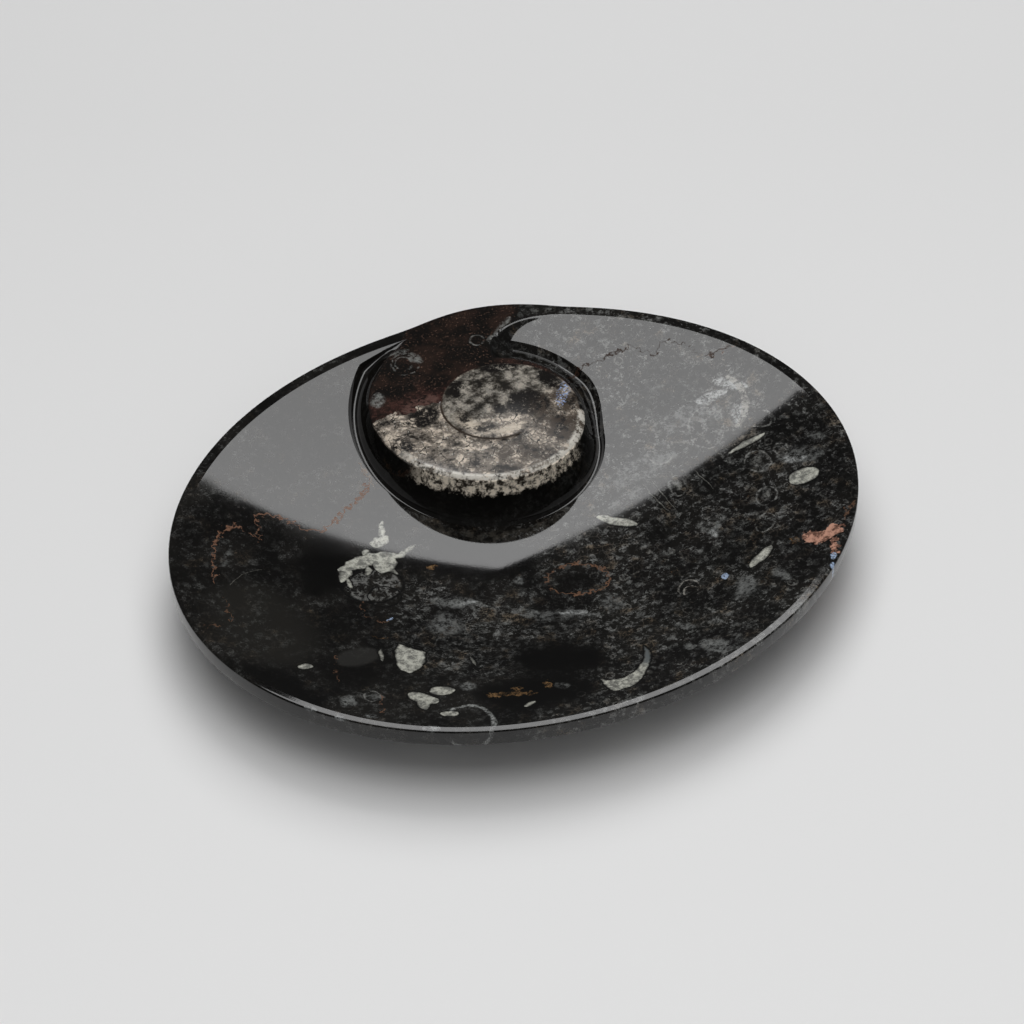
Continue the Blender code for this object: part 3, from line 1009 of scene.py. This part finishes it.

# %% [markdown]
# ## Colours of the carved shell
# The raised shell is cut from another fossil. Its front is cream calcite, peppered with
# black. Its back half is dark brown. The moat round it is painted near black, as painted shade
# in the hollow. Where these meet follows the spiral, so the same curve that shaped the shell
# is worked out again in nodes.

# %% Find the shell in nodes
RIM_FROM = 3.9
RIM_TO = 4.15
RIM_SPREAD = 2.5
TOP_HEIGHTS = (16.6, 17.1)

local = vectors("SUBTRACT", place, (SHELL_X, SHELL_Y, 0.0))
local_axes = split(local, "SeparateXYZ")
height = local_axes["Z"]
away_from_hub = vectors("LENGTH", flattened(local))
bearing = maths("ARCTAN2", local_axes["Y"], local_axes["X"])
turned = maths("WRAP", minus(START_DIRECTION, bearing), FULL_TURN, 0.0)
outer_edge = times(maths("EXPONENT", times(turned, SPIRAL_GROWTH)), SPIRAL_START)
disc_rim = times(outer_edge, math.exp(-SPIRAL_GROWTH * FULL_TURN))
out_of_edge = minus(away_from_hub, outer_edge)
past_inner = step(away_from_hub, MOUTH_INNER, MOUTH_INNER + MOUTH_LENGTH)
mouth_turn = times_plus(past_inner, MOUTH_SWEEP, MOUTH_TURN)
before_mouth = times(minus(mouth_turn, turned), 20.0)
meets_rim = step(turned, RIM_FROM, RIM_TO)
in_whorl = times_plus(meets_rim, RIM_SPREAD, times(out_of_edge, -1.0))
in_whorl = least(in_whorl, before_mouth)
in_ledge = minus(LEDGE_RADIUS + 0.3, away_from_hub)
in_shell = most((in_whorl, in_ledge))
on_top = times(step(height, *TOP_HEIGHTS), step(in_shell, -0.15, 0.05))

before_rim = step(turned, RIM_TO, RIM_FROM)
# Painted shade: the moat round the shell is darkened to near black, over the stone's own pattern.
moat_painted_shade = times(step(out_of_edge, -0.3, 0.4), step(out_of_edge, 5.0, 3.6), before_rim)
colour = blend(times(moat_painted_shade, 0.8), colour, (0.0035, 0.0032, 0.0028))

# %% [markdown]
# ### Brown back of the shell
# The back of the shell is dark brown, freckled with tiny pale grains, and it turns
# maroon along the line where it meets the cream. Rings and grey spots sit in it.

# %% Brown back of the shell
brown = blend(step(spread, 0.4, 0.65), (0.0048, 0.004, 0.0035), (0.018, 0.0105, 0.008))
brown_specks = times(step(speck, 0.55, 0.66), step(gritty, 0.4, 0.54))
brown = blend(brown_specks, brown, (0.1, 0.058, 0.042))
bent_axes = split(bent, "SeparateXYZ")
line_tilt = times_plus(bent_axes["X"], -0.12, 34.0)
before_line = minus(line_tilt, bent_axes["Y"])
before_line = times_plus(spread, 8.0, before_line)
near_line = times(step(before_line, -8.0, -1.0), step(slow, 0.35, 0.55))
brown = blend(times(near_line, mottle), brown, (0.05, 0.022, 0.018))
SHELL_GREYS = (
    (6.7, 52.8, 2.0, 1.2, -78), (4.6, 56.5, 2.6, 0.8, -15), (-7.2, 44.9, 2.6, 1.5, 60),
    (28.1, 51.6, 4.3, 1.0, 36), (24.8, 49.0, 1.8, 1.6, 20), (-10.2, 36.6, 3.0, 0.8, -77),
)
shell_greys = step(ovals(SHELL_GREYS), -0.4, 0.7)
brown = blend(times(shell_greys, mottle), brown, (0.2, 0.205, 0.195))
SHELL_RINGS = (
    (3.8, 52.2, 3.6, 2.9, 62), (21.3, 51.0, 1.7, 1.5, 60), (3.6, 52.4, 2.4, 1.8, 62),
)
shell_rings = step(rings(SHELL_RINGS, 0.3), -0.1, 0.35)
shell_rings = times(shell_rings, step(broken, 0.42, 0.56), mottle)
brown = blend(shell_rings, brown, (0.19, 0.195, 0.185))
maroon_spot = step(oval(-0.3, 38.8, 4.6, 2.4, 4), -0.4, 1.0)
brown = blend(times(maroon_spot, mottle), brown, (0.1, 0.055, 0.046))

# %% [markdown]
# ### Cream front of the shell
# The cream half is crystals of calcite with black mud between them. It is built from dark to
# light: brown-black, beige, cream, then black pepper and bright sparkle on top. Dark
# clusters, the brown shade at the right and the line of the spiral come after those.

# %% Cream front of the shell
mixed = cloud(place, 3.2, 5.0, grit=0.72)
cream = blend(step(mixed, 0.37, 0.5), (0.014, 0.012, 0.01), (0.16, 0.138, 0.115))
cream = blend(step(mixed, 0.5, 0.62), cream, (0.55, 0.475, 0.39))
pepper = times(step(gritty, 0.56, 0.64), step(spread, 0.3, 0.6))
cream = blend(pepper, cream, (0.01, 0.009, 0.008))
filaments = step(cracks, 0.05, 0.015)
cream = blend(times(filaments, step(broken, 0.4, 0.54)), cream, (0.012, 0.011, 0.01))
sparkle = times(step(speck, 0.42, 0.34), step(mixed, 0.42, 0.52))
cream = blend(sparkle, cream, (0.5, 0.475, 0.43))
in_disc = minus(disc_rim, away_from_hub)
grey_half = times(step(in_disc, 0.0, 0.6), step(bent_axes["Y"], 24.0, 31.0))
grey_disc = blend(step(mixed, 0.43, 0.62), (0.014, 0.013, 0.011), (0.26, 0.245, 0.215))
cream = blend(times(grey_half, 0.8), cream, grey_disc)
DARK_CLUSTERS = (
    (13.4, 28.5, 1.3, 1.1, 59), (20.6, 40.3, 3.9, 1.3, -23), (27.7, 31.3, 3.7, 1.6, -85),
    (-2.0, 34.8, 3.7, 2.4, 9), (-10.2, 29.6, 2.8, 1.7, -71), (14.2, 11.6, 2.8, 1.6, -50),
    (9.0, 38.9, 3.0, 1.7, 59), (21.2, 16.8, 3.9, 1.7, 58),
)
dark_clusters = step(ovals(DARK_CLUSTERS), -1.4, 0.4)
dark_clusters = times(dark_clusters, step(mixed, 0.68, 0.53), step(speck, 0.64, 0.54))
dark_heart = step(oval(19.7, 26.9, 4.7, 3.9, -31), -1.4, 0.6)
dark_heart = times(dark_heart, step(mixed, 0.74, 0.58), step(speck, 0.66, 0.56))
cream = blend(most((dark_clusters, dark_heart)), cream, (0.009, 0.008, 0.0075))
SHADES = ((24.0, 19.5, 8.5, 6.5, 60), (10.5, 13.6, 6.5, 3.2, -31.6))
right_shade = times(step(ovals(SHADES), -3.0, 2.0), step(gritty, 0.56, 0.47))
cream = blend(times(right_shade, 0.85), cream, (0.05, 0.038, 0.029))
low_crescent = minus(disc_rim, maths("ADD", away_from_hub, 0.5))
low_crescent = least(low_crescent, minus(away_from_hub, 6.0))
low_crescent = times(step(low_crescent, 0.0, 2.0), step(turned, 0.5, 1.1), step(turned, 3.1, 2.4))
cream = blend(times(low_crescent, step(mixed, 0.38, 0.52)), cream, (0.48, 0.42, 0.34))
seam_dark = step(maths("ABSOLUTE", in_disc), 0.42, 0.1)
seam_dark = times(seam_dark, step(turned, 0.8, 1.2), step(turned, RIM_FROM, 3.2))
cream = blend(seam_dark, cream, (0.03, 0.022, 0.016))
# Painted light: the bevel along the front of the whorl, which faces the camera and the lamps, is
# painted paler cream.
front_bevel_painted_light = times(step(out_of_edge, -1.9, -1.1), near(turned, 1.25, 1.1, 1.4))
cream = blend(times(front_bevel_painted_light, step(gritty, 0.4, 0.56)), cream, (0.52, 0.495, 0.445))
blue_crystals = step(oval(27.8, 26.0, 4.8, 1.2, 48), -0.4, 0.4)
blue_crystals = times(blue_crystals, step(speck, 0.5, 0.55), step(grain, 0.44, 0.54))
cream = blend(blue_crystals, cream, (0.26, 0.36, 0.6))

# %% [markdown]
# ### Laying the shell on the stone
# Two masks join the parts: one for the raised top, and one for the line between brown and
# cream. A speckled band shows below the bevel, where the cream rock is cut through.

# %% Lay the shell on the stone
whorl_front = least(before_line, times(minus(RIM_FROM, turned), 10.0))
is_cream = step(most((minus(in_disc, 0.2), whorl_front)), -0.25, 0.25)
shell_colour = blend(is_cream, brown, cream)
past_mouth = times(step(before_mouth, 0.0, -1.0), step(away_from_hub, 17.0, 17.6))
carved_top = times(on_top, minus(1.0, past_mouth))
colour = blend(carved_top, colour, shell_colour)
side_band = step(times_plus(gritty, 4.0, height), 15.6, 16.8)
side_band = times(side_band, step(out_of_edge, 2.6, 1.8), near(turned, 1.45, 0.75, 1.0))
side_band = times(side_band, step(out_of_edge, -0.3, 0.0))
side_speckle = blend(step(gritty, 0.42, 0.6), (0.03, 0.025, 0.02), (0.85, 0.76, 0.63))
colour = blend(side_band, colour, side_speckle)
print("shell coloured, nodes:", len(material.node_tree.nodes))

# %% [markdown]
# ## Polish
# Black limestone takes a mirror polish. Calcite stays a little duller and sugary, because
# its crystals pluck out. A very low bump keeps the reflections from looking computed.

# %% Connect the shader
POLISH = 0.038
SMUDGES = 0.025
DULLER_CALCITE = 0.06
DULLER_CRUMBS = 0.05
LIMESTONE_IOR = 1.5
BUMP_HEIGHT = 0.05

shader = material.node_tree.nodes["Principled BSDF"]
is_calcite = most((times(pale_mask, 0.6), times(on_top, is_cream), side_band))
smudge = times_plus(tone, SMUDGES, POLISH)
roughness = times_plus(is_calcite, DULLER_CALCITE, smudge)
roughness = times_plus(hash_amount, DULLER_CRUMBS, roughness)
feed(shader.inputs["Base Color"], colour)
feed(shader.inputs["Roughness"], roughness)
feed(shader.inputs["IOR"], LIMESTONE_IOR)
sugary = times(on_top, is_cream, step(away_from_hub, 24.0, 20.0))
pitted = most((right_seam, times(left_seam, 0.8), times(sugary, 0.85)))
feed(shader.inputs["Specular IOR Level"], times_plus(pitted, -0.45, 0.5))
relief = node("Bump")
feed(relief.inputs["Distance"], BUMP_HEIGHT * MM)
feed(relief.inputs["Strength"], times_plus(is_calcite, 0.08, 0.02))
feed(relief.inputs["Height"], cloud(place, 0.45, 2.0))
feed(shader.inputs["Normal"], relief.outputs["Normal"])

# %% [markdown]
# ## Camera
# The photograph looks down at about 42 degrees with a long lens, across the oval at an angle.

# %% Aim the camera
VIEW_AZIMUTH = math.radians(-31.6)
VIEW_ELEVATION = math.radians(42.0)
VIEW_DISTANCE = 0.9
FRAME_PIXELS = 1024.0
PIXELS_PER_METRE = 4802.0
AIM_PIXEL = (516.4, 507.9)
SENSOR_WIDTH = 36.0

back = Vector((
    math.sin(VIEW_AZIMUTH) * math.cos(VIEW_ELEVATION),
    -math.cos(VIEW_AZIMUTH) * math.cos(VIEW_ELEVATION),
    math.sin(VIEW_ELEVATION),
))
side = Vector((math.cos(VIEW_AZIMUTH), math.sin(VIEW_AZIMUTH), 0.0))
upward = back.cross(side)
aim = Vector((0.0, 0.0, RIM_HEIGHT * MM))
aim -= side * ((AIM_PIXEL[0] - 0.5 * FRAME_PIXELS) / PIXELS_PER_METRE)
aim -= upward * ((0.5 * FRAME_PIXELS - AIM_PIXEL[1]) / PIXELS_PER_METRE)
camera_data = bpy.data.cameras.new("camera")
camera_data.sensor_width = SENSOR_WIDTH
camera_data.lens = PIXELS_PER_METRE * VIEW_DISTANCE / FRAME_PIXELS * SENSOR_WIDTH
camera_data.clip_start = 0.05
camera_data.clip_end = 20.0
camera = bpy.data.objects.new("camera", camera_data)
camera.location = aim + back * VIEW_DISTANCE
camera.rotation_euler = back.to_track_quat("Z", "Y").to_euler()
bpy.context.scene.collection.objects.link(camera)
bpy.context.scene.camera = camera

# %% [markdown]
# ## Light
# One large softbox hangs over the back of the dish, and its corner shows as the sharp grey
# shape in the polish. It is placed by that corner and the directions of its two sides, as
# the camera sees them. Two soft lights, hidden from reflections, bring out the colours, and
# a weak even glow fills the shadows.

# %% Hang the softbox
def from_camera_side(x, away, z):
    """A point given to the right of, away from and above the dish as the camera sees it."""
    look = Vector((-math.sin(VIEW_AZIMUTH), math.cos(VIEW_AZIMUTH), 0.0))
    return side * x + look * away + Vector((0.0, 0.0, z))


SOFTBOX_CORNER = from_camera_side(0.0052, 0.7254, 0.6)
SOFTBOX_ALONG = from_camera_side(0.8046, -0.3907, 0.4472).normalized()
SOFTBOX_INWARD = from_camera_side(-0.5485, -0.7774, 0.3077).normalized()
SOFTBOX_SIZE = (0.47, 0.55)
SOFTBOX_POWER = 3.1
GLOW_SIZE = (1.2, 1.2)
GLOWS = (
    ("fill", 9.8, (0.0, -0.15, 1.2)),
    ("front", 3.8, (0.15, -1.3, 0.9)),
)
ROOM_LIGHT = 0.06


def area_light(name, size, power):
    data = bpy.data.lights.new(name, "AREA")
    data.shape = "RECTANGLE"
    data.size = size[0]
    data.size_y = size[1]
    data.energy = power
    light = bpy.data.objects.new(name, data)
    bpy.context.scene.collection.objects.link(light)
    return light


softbox = area_light("softbox", SOFTBOX_SIZE, SOFTBOX_POWER)
middle = SOFTBOX_CORNER + SOFTBOX_ALONG * (0.5 * SOFTBOX_SIZE[0])
middle += SOFTBOX_INWARD * (0.5 * SOFTBOX_SIZE[1])
facing = SOFTBOX_ALONG.cross(SOFTBOX_INWARD).normalized()
if facing.z < 0.0:
    facing = -facing
across = facing.cross(SOFTBOX_ALONG)
softbox.matrix_world = Matrix((
    (SOFTBOX_ALONG.x, across.x, facing.x, middle.x),
    (SOFTBOX_ALONG.y, across.y, facing.y, middle.y),
    (SOFTBOX_ALONG.z, across.z, facing.z, middle.z),
    (0.0, 0.0, 0.0, 1.0),
))
for name, power, spot in GLOWS:
    glow = area_light(name, GLOW_SIZE, power)
    glow.location = from_camera_side(*spot)
    glow.visible_glossy = False
    glow.rotation_euler = glow.location.to_track_quat("Z", "Y").to_euler()

world = bpy.data.worlds.new("studio")
world.use_nodes = True
background = world.node_tree.nodes["Background"]
background.inputs["Color"].default_value = (1.0, 1.0, 1.0, 1.0)
background.inputs["Strength"].default_value = ROOM_LIGHT
bpy.context.scene.world = world
bpy.context.scene.view_settings.view_transform = "Standard"

# %% [markdown]
# ## Floor
# The floor is one large sheet of paper. Its colour fades from white in front to a light grey
# behind: painted shade, standing in for the light falling off across a studio sweep.

# %% Lay the floor
FLOOR_REACH = 3.0
PAPER_FRONT = 0.815
PAPER_BACK_PAINTED_SHADE = 0.705
PAINTED_FALLOFF_WIDTH = 0.16
PAPER_ROUGHNESS = 0.9

floor_bm = bmesh.new()
bmesh.ops.create_grid(floor_bm, x_segments=1, y_segments=1, size=FLOOR_REACH)
floor_mesh = bpy.data.meshes.new("floor")
floor_bm.to_mesh(floor_mesh)
floor_bm.free()
floor = bpy.data.objects.new("floor", floor_mesh)
bpy.context.scene.collection.objects.link(floor)
material = new_material("studio_paper", floor_mesh)
shader = material.node_tree.nodes["Principled BSDF"]
# Painted shade: the paper is painted darker behind, where the light falls off.
paper_away = vectors("DOT_PRODUCT", node("TexCoord").outputs["Object"], AWAY)
paper_painted_falloff = step(paper_away, -PAINTED_FALLOFF_WIDTH, PAINTED_FALLOFF_WIDTH, "LINEAR")
paper_with_painted_falloff = blend(paper_painted_falloff, (PAPER_FRONT,) * 3, (PAPER_BACK_PAINTED_SHADE,) * 3)
feed(shader.inputs["Base Color"], paper_with_painted_falloff)
feed(shader.inputs["Roughness"], PAPER_ROUGHNESS)
feed(shader.inputs["Specular IOR Level"], 0.0)
